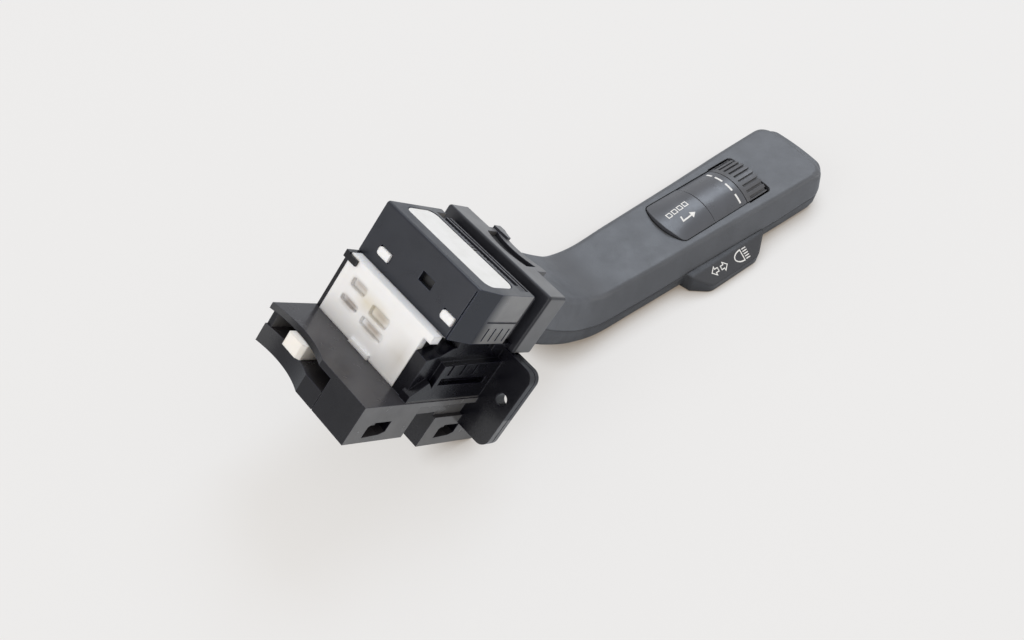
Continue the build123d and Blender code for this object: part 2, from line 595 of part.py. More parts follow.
def rounded_outline(corners, radii):
    """Closed wire round a convex outline, with an arc at each corner."""
    edges, last_end, first_start = [], None, None
    count = len(corners)
    for i in range(count):
        p = Vector(*corners[i])
        back = (Vector(*corners[i - 1]) - p).normalized()
        ahead = (Vector(*corners[(i + 1) % count]) - p).normalized()
        half_angle = radians(back.get_angle(ahead)) / 2
        start = p + back * (radii[i] / tan(half_angle))
        end = p + ahead * (radii[i] / tan(half_angle))
        inward = (back + ahead).normalized()
        middle = p + inward * (radii[i] / sin(half_angle) - radii[i])
        if last_end:
            edges.append(Edge.make_line(last_end, start))
        else:
            first_start = start
        edges.append(Edge.make_three_point_arc(start, middle, end))
        last_end = end
    edges.append(Edge.make_line(last_end, first_start))
    return Wire(edges)


def section(x, z, tilt, half, depth, widest, inset=0.0):
    """Flat-topped section with sides that flare and then drop, placed square to the lever's run."""
    a = radians(tilt)
    plane = Plane(origin=(x, 0, z), x_dir=(0, 1, 0), z_dir=(cos(a), 0, -sin(a)))
    half -= inset
    widest -= inset
    foot = widest - LEVER_TUCK
    low = -depth + inset
    flare = -WIDEST_AT * depth
    corners = [(-half, -inset), (half, -inset), (widest, flare), (foot, low), (-foot, low), (-widest, flare)]
    edge = max(0.6, LEVER_EDGE - inset)
    soft = LEVER_SIDE_ROUND - inset / 2
    return plane * Face(rounded_outline(corners, [edge, edge, soft, soft, soft, soft]))


def lever_body(inset=0.0, start=0.0, end=1.0):
    return loft([section(*s, inset=inset) for s in sections_between(start, end)])


def lever_outside():
    """Lever with its rounded tip."""
    z0 = CONTROL_Z - 30
    tip = Pos(LEVER_TIP - FAR / 2, 0, z0 + FAR / 2) * Box(FAR, 2 * TIP_HALF_WIDTH, FAR)
    tip = fillet(tip.edges().filter_by(Axis.Z).group_by(Axis.X)[-1], TIP_CORNER)
    side = profile_lever([(LEVER_TIP - 90, z0), (LEVER_TIP, z0), (LEVER_TIP, 30), (LEVER_TIP - 90, 30)])
    side -= tip_round(CONTROL_Z, 1) + tip_round(CONTROL_Z - TIP_DEPTH, -1)
    body = lever_body()
    rear = Pos(WINDOW_START - FAR / 2, 0, 0) * Box(FAR, FAR, FAR)
    return (body & rear) + (body & tip & side)


def tip_round(z, up):
    """Waste outside the rounded edge where the tip meets the face at height z."""
    r = TIP_EDGE
    corner = Pos(LEVER_TIP - r / 2 + 1, 0, z - up * (r / 2 - 1)) * Box(r + 2, 60, r + 2)
    return corner - Pos(LEVER_TIP - r, 0, z - up * r) * Rot(90, 0, 0) * Cylinder(r, 60)


def profile_lever(points):
    face = make_face(Polyline(*[(x, -30, z) for x, z in points], close=True))
    return extrude(face, amount=60, dir=(0, 1, 0))


def parting_region(share):
    """Everything above the seam between the two shells."""
    seam = []
    for x, z, tilt, _, depth, _ in sections_between(0.0, 1.0)[::2]:
        a = radians(tilt)
        seam.append((x - share * depth * sin(a), z - share * depth * cos(a)))
    a = radians(LEVER_BEND)
    seam.insert(0, (seam[0][0] - 8 * cos(a), seam[0][1] + 8 * sin(a)))
    seam.append((seam[-1][0] + 8, seam[-1][1]))
    curve = Spline(*[(x, 0, z) for x, z in seam])
    top = [(seam[-1][0], 0, 30), (seam[0][0], 0, 30)]
    face = make_face([curve, Line(curve @ 1, top[0]), Line(top[0], top[1]), Line(top[1], curve @ 0)])
    return Pos(0, -40, 0) * extrude(face, amount=80, dir=(0, 1, 0))


AXIS_Z = CONTROL_Z + BARREL_CROWN - BARREL_RADIUS
WINDOW_HALF_WIDTH = sqrt(BARREL_RADIUS ** 2 - (BARREL_RADIUS - BARREL_CROWN) ** 2) + 0.4


def barrel(radius, x0, x1):
    return Pos((x0 + x1) / 2, 0, AXIS_Z) * Rot(0, 90, 0) * Cylinder(radius, x1 - x0)


def window_plan(x0, x1, z0, z1, shrink=0.0):
    """Long window outline with a bowed root end."""
    half = WINDOW_HALF_WIDTH - shrink
    start, end = WINDOW_START + shrink, WINDOW_END - shrink
    bow = ThreePointArc((start + WINDOW_SAG, half, z0), (start, 0, z0), (start + WINDOW_SAG, -half, z0))
    sides = Polyline(bow @ 1, (end, -half, z0), (end, half, z0), bow @ 0)
    body = extrude(make_face([bow, sides]), amount=z1 - z0, dir=(0, 0, 1))
    body = fillet(body.edges().filter_by(Axis.Z).group_by(Axis.X)[0], WINDOW_CORNER - shrink)
    body = fillet(body.edges().filter_by(Axis.Z).group_by(Axis.X)[-1], 0.9 - shrink)
    return body & (Pos((x0 + x1) / 2, 0, 0) * Box(x1 - x0, FAR, FAR))


def lever_upper_shell():
    shell = OUTER & ABOVE
    shell -= INNER
    shell -= window_plan(WINDOW_START, WINDOW_END, CONTROL_Z - 3.5, CONTROL_Z + 1)
    # room under the window's edges for the rocking wheel
    opening = barrel(BARREL_RADIUS + WINDOW_GAP, WHEEL_START, WINDOW_END)
    shell -= Pos((WHEEL_START + WINDOW_END) / 2, 0, CONTROL_Z - 1.5) * Box(WINDOW_END - WHEEL_START, 22, 4) & opening
    shell -= end_cap_space(WINDOW_GAP)
    return shell


def icon_wing():
    """Wing under the ear side of the lever that carries the light symbols."""
    w0 = 9.0
    outline = [(WING_START, w0), (WING_START + 2.0, 17.5), (WING_START + 7.5, WING_OUT), (WING_END - 8.0, WING_OUT),
               (WING_END - 1.0, 17.0), (WING_END + 1.5, w0)]
    top = WING_SLOPE_TOP + 8
    body = plan(outline, WING_EDGE_TOP - WING_THICKNESS, top)
    upright_edges = body.edges().filter_by(Axis.Z).group_by(Axis.Y)
    body = fillet(upright_edges[0], 5.0)
    x = WING_START - 5
    cut = make_face(Polyline((x, -WING_SLOPE_START, WING_SLOPE_TOP), (x, -WING_OUT - 1, WING_EDGE_TOP),
                             (x, -WING_OUT - 1, top + 1), (x, 4 - WING_SLOPE_START, top + 1), close=True))
    return body - extrude(cut, amount=WING_END - WING_START + 20, dir=(1, 0, 0))


def board_posts():
    """Posts on the lower shell's floor that carry the lever's board."""
    top = BOARD_Z - BOARD_THICKNESS / 2
    posts = [Pos(BOARD_START + dx, y, top - 2) * Cylinder(1.3, 4)
             for dx in (4, BOARD_LENGTH - 4) for y in (-5, 5)]
    return posts[0] + posts[1] + posts[2] + posts[3]


def axle_post():
    """Plate on the lower shell's floor that holds the wheel axle's outer end."""
    plate = Pos(WINDOW_END + 1.0, 0, AXIS_Z - 1.0) * Box(1.4, 6.0, 5.0)
    return plate - barrel(AXLE_RADIUS + 0.05, WINDOW_END, WINDOW_END + 3)


def lever_lower_shell():
    shell = OUTER - ABOVE
    shell += icon_wing()
    shell -= INNER
    shell += board_posts()
    shell += axle_post()
    shell -= Pos(0, 0, -SEAM_GAP) * ABOVE
    shell -= barrel(WHEEL_HUB_RADIUS + 0.2, WHEEL_START, WINDOW_END)
    shell -= end_cap_space(WINDOW_GAP)
    return shell


def lever_core():
    """Stiff bar in the neck that hangs on the flash pin."""
    bar = lever_body(LEVER_WALL + 0.1, 0.0, 8 / LEVER_SECTIONS) & Box(FAR, 2 * CORE_HALF_WIDTH, FAR)
    boss_half = FORK_HALF_WIDTH - FORK_ARM - CLEAR
    boss = across(0, 0, 3.3, -boss_half, boss_half)
    link = Rot(0, LEVER_BEND, 0) * block(0, ROOT_X - FLASH_X + 1.0, -4.6, 4.6, -3.0, 3.0)
    return bar + boss + link - across(0, 0, FLASH_PIN_RADIUS + 0.05, -10, 10)


def control_saddle():
    """Fixed smooth barrel between the button and the ribbed wheel."""
    skin = barrel(BARREL_RADIUS, BUTTON_END + 0.2, WHEEL_START - 0.2) - barrel(BARREL_RADIUS - 1.6, 0, FAR)
    skin &= window_plan(BUTTON_END, WHEEL_START, AXIS_Z, CONTROL_Z + 6, WINDOW_GAP)
    rise = BARREL_RADIUS - 1.0
    wheel_side = Pos(WHEEL_START - 1.1, 0, AXIS_Z + (rise - 1.2) / 2) * Box(1.6, 8, rise + 1.2)
    return skin + wheel_side - barrel(AXLE_RADIUS + 0.05, WHEEL_START - 3, WHEEL_START)


def scroll_wheel():
    """Ribbed segment that rocks on its axle."""
    x0, x1 = WHEEL_START + 0.1, WINDOW_END - WHEEL_END_GAP
    drum = barrel(BARREL_RADIUS, x0, x1) - barrel(BARREL_RADIUS - 1.8, x0, x1)
    a = radians(WHEEL_HALF_ANGLE)
    reach = 2 * BARREL_RADIUS
    wedge = make_face(Polyline((x0, 0, AXIS_Z), (x0, reach * sin(a), AXIS_Z + reach * cos(a)),
                               (x0, -reach * sin(a), AXIS_Z + reach * cos(a)), close=True))
    drum &= extrude(wedge, amount=x1 - x0, dir=(1, 0, 0))
    pitch = 2 * (WHEEL_HALF_ANGLE - 4) / (WHEEL_RIBS - 1)
    for i in range(WHEEL_RIBS):
        angle = -(WHEEL_HALF_ANGLE - 4) + i * pitch
        groove = Pos(0, 0, AXIS_Z) * Rot(angle, 0, 0) * Pos((x0 + x1) / 2 + 0.9, 0, BARREL_RADIUS) * Box(
            x1 - x0 - 1.8, RIB_WIDTH, 2 * RIB_DEPTH)
        drum -= groove
    spoke = Pos(x0 + 1.0, 0, AXIS_Z + BARREL_RADIUS / 2 - 0.4) * Box(2.0, 5, BARREL_RADIUS - 1.6)
    hub = barrel(WHEEL_HUB_RADIUS, x0, x1 - 1.0)
    return drum + spoke + hub - barrel(AXLE_RADIUS + 0.05, x0, x1)


def wheel_axle():
    return barrel(AXLE_RADIUS, WHEEL_START - 1.9, WINDOW_END + 1.4)


def crown_section(x, crown):
    """Arched section across the button, whose edges stay level with the barrel's."""
    half = WINDOW_HALF_WIDTH + 0.4
    edge_z = CONTROL_Z - 0.08 - 0.42 * crown / BARREL_CROWN
    plane = Plane(origin=(x, 0, 0), x_dir=(0, 1, 0), z_dir=(1, 0, 0))
    arch = ThreePointArc((-half, edge_z), (0, CONTROL_Z + crown), (half, edge_z))
    return plane * make_face([arch, Polyline(arch @ 1, (half, edge_z - 8), (-half, edge_z - 8), arch @ 0)])


def reset_button():
    x0, x1 = WINDOW_START + WINDOW_GAP, BUTTON_END
    middle_crown = BARREL_CROWN - 0.3 * (BARREL_CROWN - BUTTON_ROOT_CROWN)
    solid = loft([crown_section(WINDOW_START - 1, BUTTON_ROOT_CROWN), crown_section((x0 + x1) / 2, middle_crown),
                  crown_section(BUTTON_END, BARREL_CROWN)])
    cap = solid & window_plan(x0, x1, CONTROL_Z - 2.2, CONTROL_Z + 6, WINDOW_GAP)
    cap -= Pos(0, 0, -1.6) * solid
    height = BUTTON_STEM + 1.5
    return cap + Pos((x0 + x1) / 2 + 1, 0, CONTROL_Z - BUTTON_STEM + height / 2) * Box(7, 6, height)


def button_dome():
    """Rubber return dome under the button."""
    x = (WINDOW_START + BUTTON_END) / 2 + 1.1
    board_top = BOARD_Z + BOARD_THICKNESS / 2
    base = Pos(x, 0, board_top + 0.4) * Box(12, 12, 0.8)
    rise = CONTROL_Z - BUTTON_STEM - board_top - 0.8
    return base + Pos(x, 0, board_top + 0.8) * extrude(Circle(4.2), amount=rise, taper=18)


def lever_board():
    return Pos(BOARD_START + BOARD_LENGTH / 2, 0, BOARD_Z) * Box(BOARD_LENGTH, 14, BOARD_THICKNESS)


def end_cap_space(gap):
    body = Pos(END_POCKET_X + 6, 0, END_CAP_Z) * Box(12, 2 * (END_CAP_HALF_WIDTH + gap), END_CAP_HEIGHT + 2 * gap)
    return fillet(body.edges().filter_by(Axis.X), 2.4)


def end_button():
    x1 = LEVER_TIP + END_CAP_OUT
    x0 = END_POCKET_X + END_SPRING_LENGTH
    cap = Pos((x0 + x1) / 2, 0, END_CAP_Z) * Box(x1 - x0, 2 * END_CAP_HALF_WIDTH, END_CAP_HEIGHT)
    cap = fillet(cap.edges().filter_by(Axis.X), 2.4)
    cap &= Pos(x1 - END_CAP_ARC, 0, END_CAP_Z) * Cylinder(END_CAP_ARC, 2 * END_CAP_HEIGHT)
    cap = fillet(cap.faces().sort_by(Axis.X)[-1].edges(), 0.8)
    stem_start = END_POCKET_X + END_TRAVEL + 0.5
    return cap + Pos((stem_start + x0) / 2, 0, END_CAP_Z) * Rot(0, 90, 0) * Cylinder(1.5, x0 - stem_start)


def end_spring():
    return Pos(END_POCKET_X + 0.25, 0, END_CAP_Z) * coil(2.2, 0.4, END_SPRING_LENGTH - 0.5, 3)


# ---------------------------------------------------------------- build
OUTER = lever_outside()
INNER = lever_body(LEVER_WALL, 0.0, 20 / LEVER_SECTIONS)
ABOVE = parting_region(PARTING)

keep("housing_cover", housing_cover(), HOUSING)
keep("label", label(), HOUSING)
keep("mounting_flange", mounting_flange(), HOUSING)
keep("dust_collar", dust_collar(), HOUSING)
keep("dust_seal", dust_seal(), HOUSING)
keep("guide_plate", guide_plate(), HOUSING)
keep("column_bracket", column_bracket(), HOUSING)
keep("circuit_board", circuit_board(), HOUSING)
keep("contact_carrier", contact_carrier(), HOUSING)
keep("cancel_pawl", cancel_pawl(), HOUSING)
keep("pawl_spring", pawl_spring(), HOUSING)
keep("turn_yoke", turn_yoke(), HOUSING)
keep("detent_plunger", detent_plunger(), HOUSING)
keep("detent_spring", detent_spring(), HOUSING)
keep("detent_cam", detent_cam(), HOUSING)
keep("flash_pin", flash_pin(), HOUSING)
keep("lever_upper_shell", lever_upper_shell(), LEVER)
keep("lever_lower_shell", lever_lower_shell(), LEVER)
keep("lever_core", lever_core(), LEVER)
keep("control_saddle", control_saddle(), LEVER)
keep("scroll_wheel", scroll_wheel(), LEVER)
keep("wheel_axle", wheel_axle(), LEVER)
keep("reset_button", reset_button(), LEVER)
keep("button_dome", button_dome(), LEVER)
keep("lever_board", lever_board(), LEVER)
keep("end_button", end_button(), LEVER)
keep("end_spring", end_spring(), LEVER)

for name, shape in nodes.items():
    export_step(shape, f"parts/{name}.step")
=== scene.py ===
"""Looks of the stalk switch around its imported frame: finishes, signs, lever tip, floor, light and camera.

The scene is in metres. A size written in millimetres is multiplied by MM where it is used."""
import json
import math

import bpy
from mathutils import Matrix, Vector
from mathutils.bvhtree import BVHTree


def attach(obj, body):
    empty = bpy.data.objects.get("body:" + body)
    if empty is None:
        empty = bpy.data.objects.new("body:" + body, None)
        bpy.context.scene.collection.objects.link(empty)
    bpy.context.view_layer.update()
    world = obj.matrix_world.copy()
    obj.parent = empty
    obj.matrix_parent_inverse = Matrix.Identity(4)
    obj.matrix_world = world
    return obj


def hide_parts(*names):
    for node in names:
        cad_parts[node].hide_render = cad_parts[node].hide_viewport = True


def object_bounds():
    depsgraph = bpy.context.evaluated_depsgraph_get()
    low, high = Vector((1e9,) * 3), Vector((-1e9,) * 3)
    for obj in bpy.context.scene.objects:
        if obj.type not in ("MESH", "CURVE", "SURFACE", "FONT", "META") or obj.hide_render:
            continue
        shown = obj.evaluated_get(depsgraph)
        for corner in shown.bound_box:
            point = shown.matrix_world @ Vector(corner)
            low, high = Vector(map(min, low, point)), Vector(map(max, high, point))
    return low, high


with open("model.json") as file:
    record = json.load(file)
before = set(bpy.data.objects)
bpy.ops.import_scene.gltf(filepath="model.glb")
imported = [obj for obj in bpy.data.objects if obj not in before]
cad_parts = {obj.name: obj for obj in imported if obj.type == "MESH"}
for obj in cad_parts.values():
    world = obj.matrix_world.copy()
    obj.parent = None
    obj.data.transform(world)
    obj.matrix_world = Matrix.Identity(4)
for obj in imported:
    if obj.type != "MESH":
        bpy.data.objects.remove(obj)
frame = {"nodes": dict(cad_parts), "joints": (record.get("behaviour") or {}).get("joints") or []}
cad_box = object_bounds()

MM = 0.001
JOINTS = {joint["name"]: joint for joint in frame["joints"]}
LEVER_ORIGIN = Vector(JOINTS["flash_pull"]["pos_m"])
HOUSING_LEAN = math.radians(36.5)        # in the row, where the lever lies level
HOUSING_UP = Vector((math.sin(HOUSING_LEAN), 0.0, math.cos(HOUSING_LEAN)))
EAR_SIDE = Vector((0.0, -1.0, 0.0))


def added(name, data):
    """A new object in the scene."""
    made = bpy.data.objects.new(name, data)
    bpy.context.scene.collection.objects.link(made)
    return made


def added_mesh(name, points, faces):
    mesh = bpy.data.meshes.new(name)
    mesh.from_pydata(points, [], faces)
    return added(name, mesh)


def mirrored(side, middle=()):
    """An outline from one side, by way of the middle, to the side's mirror image."""
    return [*side, *middle] + [(x, -across) for x, across in reversed(side)]


# ------------------------------------------------------------ camera
CAMERA_PLACE = Vector((-117.9, -101.4, 220.1)) * MM
CAMERA_RIGHT = Vector((0.7516, -0.6503, 0.1106))
CAMERA_BACK = Vector((-0.4780, -0.4215, 0.7706))
FOCAL_PIXELS = 1040.0
IMAGE_WIDTH = 1024
SENSOR = 36.0
CLIP_START = 0.01
CLIP_END = 20.0


def make_camera():
    data = bpy.data.cameras.new("camera")
    data.sensor_width = SENSOR
    data.lens = SENSOR * FOCAL_PIXELS / IMAGE_WIDTH
    data.clip_start = CLIP_START
    data.clip_end = CLIP_END
    camera = added("camera", data)
    back = CAMERA_BACK.normalized()
    up = back.cross(CAMERA_RIGHT).normalized()
    right = up.cross(back)
    place = Matrix((right, up, back)).transposed().to_4x4()
    place.translation = CAMERA_PLACE
    camera.matrix_world = place
    bpy.context.scene.camera = camera


# ------------------------------------------------------------ shader nodes
COLOUR_A, COLOUR_B, COLOUR_OUT = 6, 7, 2     # the colour sockets of a Mix node
BEVEL_SAMPLES = 6
SEAM_SAMPLES = 8
# colour of the painted shade in gaps
SEAM_SHADE_COLOUR = (0.002, 0.002, 0.002, 1.0)
SEAM_LEVELS = 0.25, 0.60     # share of the view that is open inside a seam, and where its painted shade ends
EDGE_LEVELS = 0.985, 0.80    # how well the rounded and the plain normal agree on a face, and on an edge


def linear(red, green, blue):
    """A colour written as 0..255 screen values, as scene-linear values."""
    def one(value):
        value /= 255
        return value / 12.92 if value <= 0.04045 else ((value + 0.055) / 1.055) ** 2.4
    return (one(red), one(green), one(blue), 1.0)


def scaled(colour, factor):
    return tuple(channel * factor for channel in colour[:3]) + (1.0,)


class Graph:
    """A node tree whose nodes are made and fed in one call."""

    def __init__(self, tree):
        self.nodes = tree.nodes
        self.links = tree.links

    def feed(self, socket, value):
        """Links an output to the socket, or sets a plain value."""
        if isinstance(value, bpy.types.NodeSocket):
            self.links.new(value, socket)
        else:
            socket.default_value = value

    def node(self, kind, **inputs):
        """A new node with inputs fed by name; an underscore stands for a space."""
        node = self.nodes.new("ShaderNode" + kind)
        for name, value in inputs.items():
            self.feed(node.inputs[name.replace("_", " ")], value)
        return node

    def pair(self, kind, operation, first, second):
        """A Math or VectorMath node's value for two inputs."""
        node = self.node(kind)
        node.operation = operation
        self.feed(node.inputs[0], first)
        self.feed(node.inputs[1], second)
        return node.outputs["Value"]

    def times(self, first, second):
        return self.pair("Math", "MULTIPLY", first, second)

    def dot(self, first, second):
        return self.pair("VectorMath", "DOT_PRODUCT", first, second)

    def mix_shaders(self, share, first, second):
        node = self.node("MixShader", Fac=share)
        self.feed(node.inputs[1], first)
        self.feed(node.inputs[2], second)
        return node.outputs["Shader"]


class Finish(Graph):
    """A procedural material, built up one layer at a time."""

    def __init__(self, name, colour, roughness, specular=0.5):
        self.material = bpy.data.materials.new(name)
        self.material.use_nodes = True
        super().__init__(self.material.node_tree)
        self.shader = self.nodes["Principled BSDF"]
        self.shade("Base Color", colour)
        self.shade("Roughness", roughness)
        self.shade("Specular IOR Level", specular)
        self.place = self.node("TexCoord").outputs["Object"]
        self.normal = None
        self.colour_output = None

    def shade(self, name, value):
        """Feeds one input of the material's shader."""
        self.feed(self.shader.inputs[name], value)

    def noise(self, size_mm, detail=2.0, roughness=0.5):
        """Noise with features of about that size."""
        scale = 1.0 / (size_mm * MM)
        node = self.node("TexNoise", Vector=self.place, Scale=scale, Detail=detail, Roughness=roughness)
        return node.outputs["Fac"]

    def band(self, value, low, high, to_low=0.0, to_high=1.0):
        """Maps value from one range to another, held at its ends."""
        node = self.node("MapRange", Value=value, From_Min=low, From_Max=high, To_Min=to_low, To_Max=to_high)
        return node.outputs["Result"]

    def mix(self, factor, first, second):
        """Colour between first and second; each is a colour or an output."""
        node = self.node("Mix")
        node.data_type = "RGBA"
        self.feed(node.inputs["Factor"], factor)
        self.feed(node.inputs[COLOUR_A], first)
        self.feed(node.inputs[COLOUR_B], second)
        self.colour_output = node.outputs[COLOUR_OUT]
        return self.colour_output

    def rounded(self, radius_mm):
        """Normals as they would be with every edge rounded."""
        node = self.node("Bevel", Radius=radius_mm * MM)
        node.samples = BEVEL_SAMPLES
        return node.outputs["Normal"]

    def round_edges(self, radius_mm):
        """Edges catch the light as moulded edges do."""
        self.normal = self.rounded(radius_mm)

    def bump(self, height, depth_mm):
        node = self.node("Bump", Height=height, Distance=depth_mm * MM, Strength=1.0)
        if self.normal:
            self.feed(node.inputs["Normal"], self.normal)
        self.normal = node.outputs["Normal"]

    def edge_mask(self, radius_mm):
        """1 along edges and 0 on the faces."""
        plain = self.node("NewGeometry").outputs["Normal"]
        return self.band(self.dot(self.rounded(radius_mm), plain), *EDGE_LEVELS)

    def facing(self, way, low, high):
        """0 to 1 as a face turns towards way."""
        return self.band(self.dot(self.node("NewGeometry").outputs["True Normal"], way), low, high)

    def square_to_housing(self):
        """Coordinates along the housing's own axes, from the mounting hole."""
        turned = self.node("Mapping", Vector=self.place, Rotation=(0.0, -HOUSING_LEAN, 0.0))
        return self.node("SeparateXYZ", Vector=turned.outputs["Vector"]).outputs

    def near(self, value, centre, half, blur):
        """1 within half of centre, fading to 0 over blur."""
        away = self.node("Math")
        away.operation = "ABSOLUTE"
        self.feed(away.inputs[0], self.pair("Math", "SUBTRACT", value, centre))
        return self.band(away.outputs["Value"], half - blur / 2, half + blur / 2, 1.0, 0.0)

    def painted_seam_shade(self, colour, reach_mm):
        """Painted shade where walls stand close, as in a seam or a gap."""
        node = self.node("AmbientOcclusion", Distance=reach_mm * MM)
        node.samples = SEAM_SAMPLES
        return self.mix(self.band(node.outputs["AO"], *SEAM_LEVELS), SEAM_SHADE_COLOUR, colour)

    def done(self):
        if self.normal:
            self.shade("Normal", self.normal)
        if self.colour_output:
            self.shade("Base Color", self.colour_output)
        return self.material


# ------------------------------------------------------------ finishes
CLOUD_MM = 9.0               # size of the faint clouds in a moulded colour
CLOUD_TONES = 0.93, 1.07
CLOUD_LEVELS = 0.35, 0.65    # noise levels where one tone ends and the other begins
NOISE_LEVELS = 0.3, 0.7      # noise levels that nearly all of a surface lies between
SMUDGE_MM = 5.0
SMUDGE = 0.06                # smudges change the roughness by this much
SHEEN_ROUGHNESS = 0.35
DUST_AND_LIGHT_LEVELS = 0.2, 0.6       # noise levels between thin and full dust and painted light
DUST_AND_LIGHT_SHARES = 0.7, 1.0
DUST_AND_LIGHT_FACING = 0.85, 0.97     # how squarely a face looks that way where dust and painted light begin, and where they are full
DUST_AND_LIGHT_START_MM = 4.0          # dust and painted light come in over this length
DUST_AND_LIGHT_STOP_MM = 0.6           # and go out over this height
MILK_TONE = 0.97
MILK_SCATTER = (1.0, 0.9, 0.75)
MILK_SCATTER_MM = 1.2
MILK_SHARE = 0.22            # of the light goes in
STEEL_GREY = (0.55, 0.56, 0.58, 1.0)
LABEL_LEVELS = 0.4, 0.7
LABEL_TONES = linear(234, 234, 233), linear(228, 228, 226)
TRACK_LEVELS = 0.48, 0.52
BOARD_GREEN = (0.02, 0.10, 0.05, 1.0)
TRACK_GREEN = (0.03, 0.16, 0.08, 1.0)
INK_TONES = linear(228, 228, 226), linear(242, 242, 240)


def dust_and_painted_light(finish, tone, cloud, lit, plain_until_mm, low_mm):
    """Patchy dust and painted light on the faces that lit lists, as moulded says."""
    patchy = finish.band(cloud, *DUST_AND_LIGHT_LEVELS, *DUST_AND_LIGHT_SHARES)
    if plain_until_mm is not None:
        along = finish.square_to_housing()["X"]
        patchy = finish.times(patchy, finish.band(along, plain_until_mm * MM, (plain_until_mm + DUST_AND_LIGHT_START_MM) * MM))
    if low_mm is not None:
        height = finish.square_to_housing()["Z"]
        lower = finish.band(height, low_mm * MM, (low_mm + DUST_AND_LIGHT_STOP_MM) * MM, 1.0, 0.0)
        patchy = finish.times(patchy, lower)
    for way, dust_and_light in lit:
        tone = finish.mix(finish.times(patchy, finish.facing(way, *DUST_AND_LIGHT_FACING)), tone, dust_and_light)
    return tone


def moulded(name, colour, roughness, grain_mm, grain_depth, edge=0.25, wear_and_highlight=1.6, specular=0.5, sheen=0.0,
            lit=(), plain_until_mm=None, low_mm=None, seam_shade_mm=0.0):
    """Moulded plastic: fine eroded grain, handling smudges, and edges made lighter by wear and a painted
    highlight.

    Edges are wear_and_highlight times as bright as the colour, for wear and a painted highlight.
    lit lists (direction, colour) of dust and painted light for faces turned that way; these begin
    plain_until_mm along the housing and end low_mm up it, where those are given.
    seam_shade_mm paints shade into gaps of about that width."""
    finish = Finish(name, colour, roughness, specular)
    finish.shade("Sheen Weight", sheen)
    finish.shade("Sheen Roughness", SHEEN_ROUGHNESS)
    cloud = finish.noise(CLOUD_MM, detail=3.0)
    darker, paler = CLOUD_TONES
    tone = finish.mix(finish.band(cloud, *CLOUD_LEVELS), scaled(colour, darker), scaled(colour, paler))
    # patchy dust and painted light on faces turned the listed ways
    if lit:
        tone = dust_and_painted_light(finish, tone, cloud, lit, plain_until_mm, low_mm)
    # edges painted lighter, for wear and as a painted highlight
    tone = finish.mix(finish.edge_mask(edge), tone, scaled(colour, wear_and_highlight))
    # painted shade in gaps between parts
    if seam_shade_mm:
        finish.painted_seam_shade(tone, seam_shade_mm)
    smudges = finish.noise(SMUDGE_MM, detail=4.0, roughness=0.6)
    finish.shade("Roughness", finish.band(smudges, *NOISE_LEVELS, roughness - SMUDGE, roughness + SMUDGE))
    finish.round_edges(edge)
    finish.bump(finish.noise(grain_mm, detail=3.0, roughness=0.6), grain_depth)
    return finish.done()


def milky(name, colour, shade_patches=()):
    """Unfilled pale plastic that lets some light in; shade_patches are painted soft shade, mostly where it
    is thin.

    A patch is its middle across and up from the mounting hole, its half sizes, its blur and the colour of
    its painted shade."""
    finish = Finish(name, colour, roughness=0.42)
    cloud = finish.band(finish.noise(size_mm=6.0), *CLOUD_LEVELS)
    tone = finish.mix(cloud, scaled(colour, MILK_TONE), colour)
    place = finish.square_to_housing()
    for across, height, half_across, half_height, blur, shade in shade_patches:
        wide = finish.near(place["Y"], across * MM, half_across * MM, blur * MM)
        high = finish.near(place["Z"], height * MM, half_height * MM, blur * MM)
        # each spot of painted shade
        tone = finish.mix(finish.times(wide, high), tone, shade)
    finish.shade("Subsurface Weight", MILK_SHARE)
    finish.shade("Subsurface Radius", MILK_SCATTER)
    finish.shade("Subsurface Scale", MILK_SCATTER_MM * MM)
    gloss = finish.noise(size_mm=3.0, detail=3.0)
    finish.shade("Roughness", finish.band(gloss, *NOISE_LEVELS, to_low=0.36, to_high=0.5))
    finish.round_edges(radius_mm=0.8)
    finish.bump(finish.noise(size_mm=0.8), depth_mm=0.01)
    return finish.done()


def steel(name):
    finish = Finish(name, STEEL_GREY, roughness=0.28)
    finish.shade("Metallic", 1.0)
    gloss = finish.noise(size_mm=0.6)
    finish.shade("Roughness", finish.band(gloss, *NOISE_LEVELS, to_low=0.2, to_high=0.36))
    finish.bump(finish.noise(size_mm=0.2), depth_mm=0.004)
    return finish.done()


def sticker(name):
    finish = Finish(name, linear(240, 240, 238), roughness=0.38)
    finish.mix(finish.band(finish.noise(size_mm=4.0, detail=3.0), *LABEL_LEVELS), *LABEL_TONES)
    finish.bump(finish.noise(size_mm=1.6), depth_mm=0.012)
    return finish.done()


def board(name):
    finish = Finish(name, BOARD_GREEN, roughness=0.35)
    finish.mix(finish.band(finish.noise(size_mm=1.2), *TRACK_LEVELS), BOARD_GREEN, TRACK_GREEN)
    finish.bump(finish.noise(size_mm=0.5, detail=1.0), depth_mm=0.01)
    return finish.done()


def print_ink(name):
    finish = Finish(name, linear(238, 238, 236), roughness=0.5)
    finish.mix(finish.band(finish.noise(size_mm=0.5), *NOISE_LEVELS), *INK_TONES)
    finish.bump(finish.noise(size_mm=0.25), depth_mm=0.004)
    return finish.done()


def paint(finishes):
    """Gives each CAD node its finish."""
    for material, names in finishes:
        for name in names:
            mesh = frame["nodes"][name].data
            mesh.materials.clear()
            mesh.materials.append(material)


# ------------------------------------------------------------ floor and light
BACKDROP = linear(238, 238, 238)
FLOOR_HALF = 6.0
FLOOR_PAPER = (0.735, 0.775, 0.825, 1.0)
FLOOR_GLOW = (0.886, 0.860, 0.832, 1.0)
